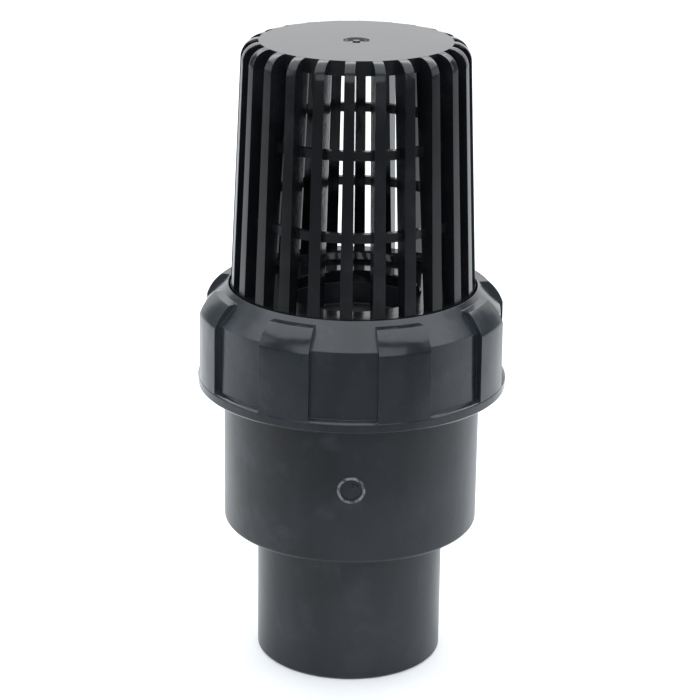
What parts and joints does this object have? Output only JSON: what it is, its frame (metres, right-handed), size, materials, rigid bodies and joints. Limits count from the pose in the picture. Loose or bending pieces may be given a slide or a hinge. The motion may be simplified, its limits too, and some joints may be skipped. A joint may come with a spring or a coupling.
{
  "type": "foot valve",
  "caption": "Plastic foot valve with a slotted strainer basket, a union nut and a sprung poppet inside a body with a pipe spigot and socket.",
  "frame": {"origin": "centre of the pipe end's face, at the bottom of the spigot", "axes": "+Z along the valve's axis from the pipe end towards the strainer; -Y through one recess of the nut and one bar of the strainer"},
  "size_m": [0.1032, 0.1032, 0.2125],
  "materials": {
    "body_grey": "satin moulded PVC-U",
    "nut_grey": "satin moulded PVC-U",
    "strainer_black": "satin moulded polypropylene",
    "seal_rubber": "smooth moulded EPDM",
    "stainless": "drawn and stamped stainless steel",
    "guide_black": "moulded polypropylene",
    "bush_white": "turned acetal"
  },
  "bodies": {
    "body": {"valve_body": "body_grey", "seat_carrier": "body_grey", "body_o_ring": "seal_rubber", "poppet_spring": "stainless", "spring_washer": "stainless", "guide_spider": "guide_black", "guide_bush": "bush_white", "guide_ring": "stainless"},
    "strainer": {"strainer_basket": "strainer_black"},
    "nut": {"union_nut": "nut_grey"},
    "poppet": {"poppet": "body_grey", "poppet_gasket": "seal_rubber", "gasket_retainer": "guide_black", "retainer_washer": "stainless", "retainer_screw": "stainless", "stem_clip": "stainless"}
  },
  "joints": [
    {"name": "strainer_lift", "type": "slide", "parent": "body", "child": "strainer", "axis": [0, 0, 1], "range_m": [0, 0.0151]},
    {"name": "nut_turn", "type": "hinge", "parent": "strainer", "child": "nut", "pos_m": [0, 0, 0.11], "axis": [0, 0, 1], "range_deg": [0, 1080]},
    {"name": "poppet_lift", "type": "slide", "parent": "body", "child": "poppet", "axis": [0, 0, -1], "range_m": [0, 0.012], "stiffness_N_per_m": 250, "springref_m": -0.016, "deforming": ["poppet_spring"]}
  ],
  "couplings": [
    {"joint": "strainer_lift", "follows": "nut_turn", "m_per_rad": 0.00079577}
  ]
}
